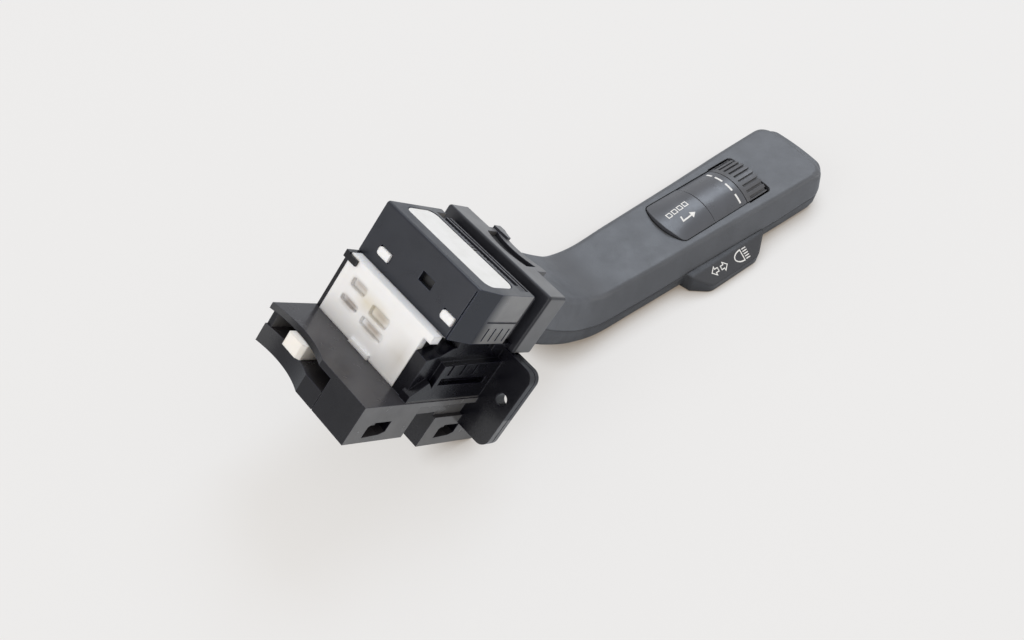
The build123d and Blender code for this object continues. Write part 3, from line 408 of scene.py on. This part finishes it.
# colour of the painted contact shadow
FLOOR_PAINTED_SHADOW = (0.30, 0.24, 0.18, 1.0)
FLOOR_SHOWN = 0.68           # share of the glow in the floor that the camera sees; the rest is lit paper
PAINTED_SHADOW_REACH = 11 * MM      # painted contact shadow: the glow darkens this close to the object
PAINTED_SHADOW_LEVELS = 0.30, 0.85  # share of the view that is open where the painted shadow is full, and where it ends
FILL_COLOUR = (1.0, 0.93, 0.85, 1.0)
FILL_STRENGTH = 0.68
LAMP_DISTANCE = 2.0
LAMPS = (                    # name, direction, size, watts, colour
    ("key", (0.54, 0.25, 0.80), 1.0, 15.0, (0.90, 1.0, 1.14)),
    ("front", (-0.90, 0.05, 0.42), 1.2, 12.0, (1.0, 1.0, 1.0)),
    ("side", (0.85, -0.50, 0.05), 0.9, 4.0, (1.0, 0.99, 0.97)),
)


def make_floor():
    """Pale paper that glows for the camera alone, with a painted contact shadow that dims the glow close to
    the object.
    """
    low, half = cad_box[0].z, FLOOR_HALF
    corners = [(-half, -half, low), (half, -half, low), (half, half, low), (-half, half, low)]
    floor = added_mesh("floor", corners, [(0, 1, 2, 3)])
    finish = Finish("floor_paper", FLOOR_PAPER, roughness=0.9, specular=0.0)
    floor.data.materials.append(finish.material)
    # painted contact shadow in the glow, where the object is close
    contact = finish.node("AmbientOcclusion", Distance=PAINTED_SHADOW_REACH).outputs["AO"]
    glow_with_shadow = finish.mix(finish.band(contact, *PAINTED_SHADOW_LEVELS), FLOOR_PAINTED_SHADOW, FLOOR_GLOW)
    glow = finish.node("Emission", Color=glow_with_shadow).outputs["Emission"]
    share = finish.times(finish.node("LightPath").outputs["Is Camera Ray"], FLOOR_SHOWN)
    surface = finish.mix_shaders(share, finish.shader.outputs["BSDF"], glow)
    finish.feed(finish.nodes["Material Output"].inputs["Surface"], surface)


def make_world():
    """Warm fill light, but a plain backdrop for the camera's, glossy and transmitted rays."""
    world = bpy.data.worlds.new("studio")
    bpy.context.scene.world = world
    world.use_nodes = True
    graph = Graph(world.node_tree)
    graph.nodes.clear()
    fill = graph.node("Background", Color=FILL_COLOUR, Strength=FILL_STRENGTH).outputs["Background"]
    shown = graph.node("Background", Color=BACKDROP, Strength=1.0).outputs["Background"]
    path = graph.node("LightPath").outputs
    seen = graph.pair("Math", "MAXIMUM", path["Is Camera Ray"], path["Is Glossy Ray"])
    seen = graph.pair("Math", "MAXIMUM", seen, path["Is Transmission Ray"])
    graph.node("OutputWorld", Surface=graph.mix_shaders(seen, fill, shown))


def make_lamps():
    aim = (cad_box[0] + cad_box[1]) / 2
    for name, direction, size, watts, colour in LAMPS:
        data = bpy.data.lights.new(name, "AREA")
        data.shape = "SQUARE"
        data.size = size
        data.energy = watts
        data.color = colour
        lamp = added(name, data)
        away = Vector(direction).normalized()
        lamp.location = aim + away * LAMP_DISTANCE
        lamp.rotation_mode = "QUATERNION"
        lamp.rotation_quaternion = away.to_track_quat("Z", "Y")


# ------------------------------------------------------------ printed signs
# Paths are in millimetres: along the lever, and across it towards the ear side or down the wing's slope.
PRINT_LIFT = 0.02 * MM
PRINT_THICKNESS = 0.03 * MM
STEP = 0.45              # no piece of a path is longer
CORNER_LIMIT = 0.5       # keeps the ink from running out in a spike at a sharp corner
STRAIGHT_DOWN = Vector((0.0, 0.0, -1.0))
WING_TILT = math.radians(31.2)
WING_START = Vector((0.0, -13.6, -33.0))
ABOVE_WING = 6.0

BEAM_PLACE = (95.9, 6.6)
BEAM_FLAT = 4.0
BEAM_LENGTH, BEAM_HALF = 3.6, 1.85
BEAM_LINE = 0.42
DOME_ANGLES = range(0, 181, 15)
RAY_COUNT = 5
RAY_PITCH = 0.85
RAY_START, RAY_END = 0.75, 2.75
RAY_LINE = 0.36

ARROW_TIPS = (((85.3, 6.2), -1.0), ((92.5, 6.4), 1.0))
HEAD_LENGTH, HEAD_HALF = 1.65, 1.45
ARROW_LENGTH, TAIL_HALF = 2.95, 0.62
ARROW_LINE = 0.34

HOOK = ((84.6, 1.8), (84.2, 3.5), (86.1, 3.45), (88.1, 3.3))
HOOK_LINE = 0.52
HOOK_HEAD = ((88.0, 3.31), (89.9, 3.18))
HOOK_HEAD_WIDTH, HOOK_POINT = 2.3, 0.02

SQUARE_COUNT = 4
SQUARE_FIRST = (82.0, -0.75)
SQUARE_PITCH = (2.45, -0.11)
SQUARE_HALF = 0.78
SQUARE_LINE = 0.32

DASH_PLACE = 107.5
DASH_RADIUS = 13.5
DASH_LINE = 0.72
DASH_STEPS = 8
DASHES = ((-32.5, -23.0), (-17.5, -4.3), (1.3, 15.2), (21.7, 36.5))      # degrees round the saddle


def unit(a, b):
    return (Vector(b) - Vector(a)).normalized()


def refined(points, closed):
    """The same path with a point at least every STEP."""
    ends = points + points[:1] if closed else points
    path = []
    for a, b in zip(ends, ends[1:]):
        a, b = Vector(a), Vector(b)
        count = max(1, math.ceil((b - a).length / STEP))
        path += [a.lerp(b, i / count) for i in range(count)]
    return path if closed else path + [Vector(ends[-1])]


def band_rows(points, width, end_width=None, closed=False):
    """Rows of left, middle and right points along a path; the width may change towards its end."""
    path = refined(list(points), closed)
    rows = []
    last = len(path) - 1
    for i, p in enumerate(path):
        before = path[i - 1] if i or closed else None
        after = path[(i + 1) % len(path)] if i < last or closed else None
        ways = [unit(before, p)] if before is not None else []
        ways += [unit(p, after)] if after is not None else []
        along = sum(ways, Vector((0.0, 0.0))).normalized()
        side = Vector((-along.y, along.x))
        here = width if end_width is None else width + (end_width - width) * i / last
        reach = here / 2 / max(CORNER_LIMIT, along.dot(ways[0]))
        rows.append((p + side * reach, p, p - side * reach))
    return rows, closed


def on_top(along, across):
    """A point above the control face, in the row frame, and the way down to it."""
    return LEVER_ORIGIN + Vector((along, -across, 0.0)) * MM, STRAIGHT_DOWN


def on_wing(along, down):
    """A point above the wing's slope, and the way to it; down is measured on the slope from the lever."""
    lean = Vector((0.0, -math.cos(WING_TILT), -math.sin(WING_TILT)))
    out = Vector((0.0, -math.sin(WING_TILT), math.cos(WING_TILT)))
    place = WING_START + Vector((along, 0.0, 0.0)) + lean * down + out * ABOVE_WING
    return LEVER_ORIGIN + place * MM, -out


def printed(name, bands, target, place, body, material):
    """Thin ink that lies on the target node wherever the bands say."""
    tree = BVHTree.FromObject(frame["nodes"][target], bpy.context.evaluated_depsgraph_get())
    to_world = frame["nodes"][target].matrix_world
    to_local = to_world.inverted()
    points, faces = [], []
    for rows, closed in bands:
        first = len(points)
        for row in rows:
            for spot in row:
                start, way = place(*spot)
                hit = tree.ray_cast(to_local @ start, to_local.to_3x3() @ way)[0]
                points.append(to_world @ hit - way * PRINT_LIFT)
        count = len(rows)
        for i in range(count if closed else count - 1):
            a, b = first + 3 * i, first + 3 * ((i + 1) % count)
            faces += [(a, b, b + 1, a + 1), (a + 1, b + 1, b + 2, a + 2)]
    piece = added_mesh(name, points, faces)
    piece.data.materials.append(material)
    solid = piece.modifiers.new("thickness", "SOLIDIFY")
    solid.thickness = PRINT_THICKNESS
    solid.offset = 0.0
    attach(piece, body)


def high_beam():
    """Main-beam lamp sign: a D with short rays."""
    turn = [math.radians(a) for a in DOME_ANGLES]
    dome = [(BEAM_FLAT - BEAM_LENGTH * math.sin(a), -BEAM_HALF * math.cos(a)) for a in turn]
    bands = [band_rows(dome, BEAM_LINE, closed=True)]
    for i in range(RAY_COUNT):
        down = RAY_PITCH * (i - (RAY_COUNT - 1) / 2)
        bands.append(band_rows([(BEAM_FLAT + RAY_START, down), (BEAM_FLAT + RAY_END, down)], RAY_LINE))
    return bands


def moved(bands, place):
    shift = Vector(place)
    return [([tuple(p + shift for p in row) for row in rows], closed) for rows, closed in bands]


def turn_arrow(tip, way):
    """Outlined arrow of the turn-signal sign; way is 1 or -1 along the lever."""
    side = [(HEAD_LENGTH, -HEAD_HALF), (HEAD_LENGTH, -TAIL_HALF), (ARROW_LENGTH, -TAIL_HALF)]
    outline = [(0.0, 0.0)] + mirrored(side)
    points = [(tip[0] - way * along, tip[1] + across) for along, across in outline]
    return band_rows(points, ARROW_LINE, closed=True)


def return_arrow():
    """Hooked arrow on the button."""
    return [band_rows(HOOK, HOOK_LINE), band_rows(HOOK_HEAD, HOOK_HEAD_WIDTH, HOOK_POINT)]


def counter_squares():
    """Small outlined squares, as a counter's digits, beside the arrow."""
    bands = []
    half = SQUARE_HALF
    for i in range(SQUARE_COUNT):
        along, across = (first + pitch * i for first, pitch in zip(SQUARE_FIRST, SQUARE_PITCH))
        square = [(along - half, across - half), (along + half, across - half),
                  (along + half, across + half), (along - half, across + half)]
        bands.append(band_rows(square, SQUARE_LINE, closed=True))
    return bands


def saddle_dashes():
    """Broken line across the saddle."""
    bands = []
    for start, end in DASHES:
        turn = [math.radians(start + (end - start) * i / DASH_STEPS) for i in range(DASH_STEPS + 1)]
        bands.append(band_rows([(DASH_PLACE, DASH_RADIUS * math.sin(a)) for a in turn], DASH_LINE))
    return bands


def add_prints(ink):
    printed("print_return_arrow", return_arrow(), "reset_button", on_top, "reset", ink)
    printed("print_counter_squares", counter_squares(), "reset_button", on_top, "reset", ink)
    printed("print_dashes", saddle_dashes(), "control_saddle", on_top, "lever", ink)
    printed("print_high_beam", moved(high_beam(), BEAM_PLACE), "lever_lower_shell", on_wing, "lever", ink)
    arrows = [turn_arrow(tip, way) for tip, way in ARROW_TIPS]
    printed("print_turn_arrows", arrows, "lever_lower_shell", on_wing, "lever", ink)


# ------------------------------------------------------------ lever tip
# In the lever's own millimetres: x along it, across towards the ear side, depth below the control face.
CONTROL_FACE = -26.9
TIP_START = 134.0
TIP_END = 147.4
TIP_DEPTH = 14.0
TIP_SECTION = ((0.0, 14.0), (8.4, 16.3), (TIP_DEPTH, 15.8))      # depth and half width
TIP_BOW = 70.0           # radius at the middle of the end's bowed front
TIP_CORNER = 4.6
SIDE_EDGE = 1.9
SIDE_CLEAR = 1.2         # the cut runs in from this far outside the lever's side
END_EDGE = 2.4
EDGE_ANGLES = range(12, 91, 13)      # where a round edge has its rings
WIDEST_BELOW = 1.4       # a shape is widest about this far below the middle of its depths
FRONT_STEPS = 6
BEYOND = 40.0            # farther than the shells reach across or in depth
PAST_FACE = 1.0          # a tool stands this far past a face that it cuts

GAP_START = 111.0        # from the wheel's inner end
GAP_END = 122.3
GAP_HALF = 9.55
GAP_CORNER = 1.9
GAP_DEPTH = 7.5

KEY_BACK = 145.2
KEY_OUT = 1.5            # stands out of the tip
KEY_INSET = 2.2          # in from the tip's side
KEY_TOP = 1.1
KEY_BOTTOM = 12.6
KEY_CORNER = 2.6         # its front corners, seen from above
KEY_EDGE = 0.6           # its front edge
KEY_ROUND = 2.2          # its long edges
KEY_GAP = 0.15
KEY_TRAVEL = 0.8
PAST_TIP = 5.0

SHELLS = ("lever_upper_shell", "lever_lower_shell")
SPLIT_ANGLE = math.radians(28)
FLAT_WEIGHT = 100        # the largest faces decide the shading


def half_width(depth):
    """Half width of the tip's section at that depth."""
    for (d0, w0), (d1, w1) in zip(TIP_SECTION, TIP_SECTION[1:]):
        if depth <= d1:
            return w0 + (w1 - w0) * max(0.0, depth - d0) / (d1 - d0)
    return TIP_SECTION[-1][1]


def edge_inset(depth, top, bottom, radius):
    """How far a round edge stands in at that depth."""
    close = min(depth - top, bottom - depth)
    close = min(max(close, 0.0), radius)
    return radius - math.sqrt(radius ** 2 - (radius - close) ** 2)


def edge_depths(top, bottom, radius):
    """Depths that follow a round edge at the top and at the bottom."""
    steps = [radius * (1 - math.cos(math.radians(a))) for a in EDGE_ANGLES]
    widest = (top + bottom) / 2 + WIDEST_BELOW
    return [top + step for step in steps] + [widest] + [bottom - step for step in reversed(steps)]


def corner_arc(x, across, radius, last_angle, count):
    """Round corner in plan about a centre, from straight across down to last_angle from the lever's run."""
    turn = [math.radians(90 + (last_angle - 90) * i / count) for i in range(count + 1)]
    return [(x + radius * math.cos(a), across + radius * math.sin(a)) for a in turn]


def tip_plan(half, end, corner):
    """Rounded end in plan, from one side to the other."""
    flat = half - corner

    def reach(across):
        return end - across ** 2 / (2 * TIP_BOW)

    front = [flat * i / FRONT_STEPS for i in range(FRONT_STEPS, -FRONT_STEPS - 1, -1)]
    side = corner_arc(reach(flat) - corner, flat, corner, last_angle=10, count=8)
    return mirrored(side, [(reach(across), across) for across in front])


def stacked(name, rings):
    """Closed mesh through rings of the same number of points; a ring is (depth, [(x, across), ...])."""
    count = len(rings[0][1])
    points = [LEVER_ORIGIN + Vector((x, -across, CONTROL_FACE - depth)) * MM
              for depth, ring in rings for x, across in ring]
    faces = [tuple(range(count)), tuple(reversed(range(len(points) - count, len(points))))]
    for level in range(len(rings) - 1):
        for i in range(count):
            a, b = level * count + i, level * count + (i + 1) % count
            faces.append((b, a, a + count, b + count))
    return added_mesh(name, points, faces)


def tip_keep():
    """Everything of the lever that stays when its tip's corners are rounded."""
    rings = []
    for depth in [-PAST_FACE] + edge_depths(0.0, TIP_DEPTH, END_EDGE) + [TIP_DEPTH + PAST_FACE]:
        full = half_width(depth)
        half = full - edge_inset(depth, 0.0, TIP_DEPTH, SIDE_EDGE)
        end = TIP_END - edge_inset(depth, 0.0, TIP_DEPTH, END_EDGE)
        side = [(-BEYOND, BEYOND), (TIP_START, BEYOND), (TIP_START, full + SIDE_CLEAR)]
        rings.append((depth, mirrored(side, tip_plan(half, end, TIP_CORNER))))
    return stacked("tip_keep", [(-BEYOND, rings[0][1])] + rings + [(BEYOND, rings[-1][1])])


def wheel_gap():
    """Wider gap with round corners at the wheel's outer end."""
    corner = corner_arc(GAP_END - GAP_CORNER, GAP_HALF - GAP_CORNER, GAP_CORNER, last_angle=0, count=6)
    outline = mirrored([(GAP_START, GAP_HALF)] + corner)
    return stacked("wheel_gap", [(depth, outline) for depth in (-PAST_FACE, GAP_DEPTH)])


def key_half(depth, gap=0.0):
    """Half width of the key, or of its pocket with a gap round it, at that depth."""
    top, bottom = KEY_TOP - gap, KEY_BOTTOM + gap
    return half_width(depth) - KEY_INSET + gap - edge_inset(depth, top, bottom, KEY_ROUND)


def key_pocket():
    """Room for the key and its travel, open at the tip's end."""
    back = KEY_BACK - KEY_TRAVEL - KEY_GAP
    rings = []
    for depth in edge_depths(KEY_TOP - KEY_GAP, KEY_BOTTOM + KEY_GAP, KEY_ROUND):
        half = key_half(depth, KEY_GAP)
        rings.append((depth, mirrored([(back, half), (TIP_END + PAST_TIP, half)])))
    return stacked("key_pocket", rings)


def end_key_face(material):
    """Soft-edged key that fills the tip's end."""
    rings = []
    for depth in edge_depths(KEY_TOP, KEY_BOTTOM, KEY_ROUND):
        half = key_half(depth)
        end = TIP_END + KEY_OUT - edge_inset(depth, KEY_TOP, KEY_BOTTOM, KEY_EDGE)
        rings.append((depth, mirrored([(KEY_BACK, half)], tip_plan(half, end, KEY_CORNER))))
    key = stacked("end_key_face", rings)
    key.data.materials.append(material)
    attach(key, "end_key")
    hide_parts("end_button")


def cut(node, tool, operation):
    change = frame["nodes"][node].modifiers.new(tool.name, "BOOLEAN")
    change.operation = operation
    change.object = tool
    change.solver = "EXACT"


def shape_shells():
    """Cuts the shells with hidden tools that ride with the lever, then shades their flat faces flat."""
    keep, pocket, gap = tip_keep(), key_pocket(), wheel_gap()
    for tool in (keep, pocket, gap):
        tool.hide_render = True
        tool.hide_viewport = True
        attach(tool, "lever")
    for node in SHELLS:
        cut(node, keep, "INTERSECT")
        cut(node, pocket, "DIFFERENCE")
    cut("lever_upper_shell", gap, "DIFFERENCE")
    for node in SHELLS:
        split = frame["nodes"][node].modifiers.new("sharp_edges", "EDGE_SPLIT")
        split.split_angle = SPLIT_ANGLE
        level = frame["nodes"][node].modifiers.new("flat_faces_lead", "WEIGHTED_NORMAL")
        level.weight = FLAT_WEIGHT


# ------------------------------------------------------------ make it
bpy.context.scene.view_settings.view_transform = "Standard"
make_camera()
make_world()
make_lamps()
make_floor()

# Faces turned up get dust and painted light; faces turned to the ear side get painted light.
COVER_TOP_DUST_AND_LIGHT = (0.066, 0.068, 0.073, 1.0)
COVER_SIDE_PAINTED_LIGHT = (0.24, 0.24, 0.242, 1.0)
FLANGE_TOP_DUST_AND_LIGHT = (0.15, 0.152, 0.158, 1.0)
FLANGE_SIDE_PAINTED_LIGHT = (0.13, 0.131, 0.135, 1.0)
FORK_TOP_DUST_AND_LIGHT = (0.046, 0.045, 0.050, 1.0)
FORK_SIDE_PAINTED_LIGHT = (0.15, 0.15, 0.153, 1.0)
COVER_PLAIN_UNTIL = -20.5      # the cover's dust and painted light begin here along the housing
FORK_TOP = -4.2          # neither dust nor painted light on the bracket above its fork

LEVER_TOP = moulded("lever_grain", (0.088, 0.094, 0.106, 1.0), 0.44, 0.35, 0.03, edge=0.5, wear_and_highlight=1.15,
                    specular=0.45, seam_shade_mm=1.3)
# painted shade: the lower shell is the top's plastic painted darker
LEVER_SHADED_SIDE = moulded("lever_grain_painted_shade", (0.046, 0.048, 0.054, 1.0), 0.44, 0.35, 0.03, edge=1.6, wear_and_highlight=1.0,
                     specular=0.35)
CONTROL = moulded("control_satin", (0.078, 0.083, 0.096, 1.0), 0.32, 0.25, 0.010, edge=0.3, wear_and_highlight=1.4,
                  seam_shade_mm=1.3)
RIBBED = moulded("wheel_satin", (0.075, 0.077, 0.085, 1.0), 0.40, 0.25, 0.010, edge=0.15, wear_and_highlight=1.5,
                 seam_shade_mm=0.8)
COVER = moulded("cover_satin", (0.007, 0.009, 0.017, 1.0), 0.32, 0.4, 0.012, edge=0.25, wear_and_highlight=6.0, sheen=0.06,
                lit=((HOUSING_UP, COVER_TOP_DUST_AND_LIGHT), (EAR_SIDE, COVER_SIDE_PAINTED_LIGHT)), plain_until_mm=COVER_PLAIN_UNTIL)
FLANGE = moulded("flange_satin", (0.012, 0.013, 0.019, 1.0), 0.42, 0.4, 0.012, edge=0.3, wear_and_highlight=8.0, sheen=0.2,
                 lit=((HOUSING_UP, FLANGE_TOP_DUST_AND_LIGHT), (EAR_SIDE, FLANGE_SIDE_PAINTED_LIGHT)))
BRACKET = moulded("bracket_gloss", (0.004, 0.004, 0.007, 1.0), 0.24, 0.6, 0.006, edge=0.25, wear_and_highlight=6.0,
                  specular=0.35, lit=((HOUSING_UP, FORK_TOP_DUST_AND_LIGHT), (EAR_SIDE, FORK_SIDE_PAINTED_LIGHT)),
                  low_mm=FORK_TOP)
INNER = moulded("inner_black", (0.008, 0.008, 0.009, 1.0), 0.45, 0.4, 0.015)
# soft spots of painted shade on the guide plate
WHITE = milky("milky_plastic", linear(249, 251, 254), (
    (35.2, 7.9, 2.5, 1.0, 2.2, linear(196, 190, 184)),
    (35.4, 2.7, 2.3, 0.9, 2.0, linear(172, 163, 156)),
    (28.6, 6.4, 4.6, 1.6, 4.0, linear(228, 222, 206)),
    (25.6, 5.9, 2.2, 1.2, 2.4, linear(196, 189, 178)),
    (25.9, 2.0, 2.6, 0.9, 2.2, linear(182, 172, 160)),
    (14.5, 2.6, 2.6, 3.0, 7.0, linear(205, 202, 196)),
))
CREAM = milky("cream_acetal", linear(244, 241, 236))
STEEL = steel("drawn_steel")
SEAL = moulded("seal_rubber", (0.012, 0.012, 0.013, 1.0), 0.6, 0.4, 0.01)
RUBBER = moulded("dome_rubber", (0.12, 0.12, 0.125, 1.0), 0.7, 0.5, 0.02)

paint((
    (LEVER_TOP, ("lever_upper_shell", "end_button")),
    (LEVER_SHADED_SIDE, ("lever_lower_shell",)),
    (CONTROL, ("control_saddle", "reset_button")),
    (RIBBED, ("scroll_wheel",)),
    (COVER, ("housing_cover",)),
    (FLANGE, ("mounting_flange", "dust_collar")),
    (BRACKET, ("column_bracket",)),
    (INNER, ("turn_yoke", "detent_cam", "lever_core", "contact_carrier")),
    (WHITE, ("guide_plate",)),
    (CREAM, ("cancel_pawl", "detent_plunger")),
    (STEEL, ("pawl_spring", "detent_spring", "end_spring", "flash_pin", "wheel_axle")),
    (RUBBER, ("button_dome",)),
    (SEAL, ("dust_seal",)),
    (board("solder_mask"), ("circuit_board", "lever_board")),
    (sticker("label_film"), ("label",)),
))

shape_shells()
end_key_face(LEVER_TOP)
add_prints(print_ink("print_ink"))
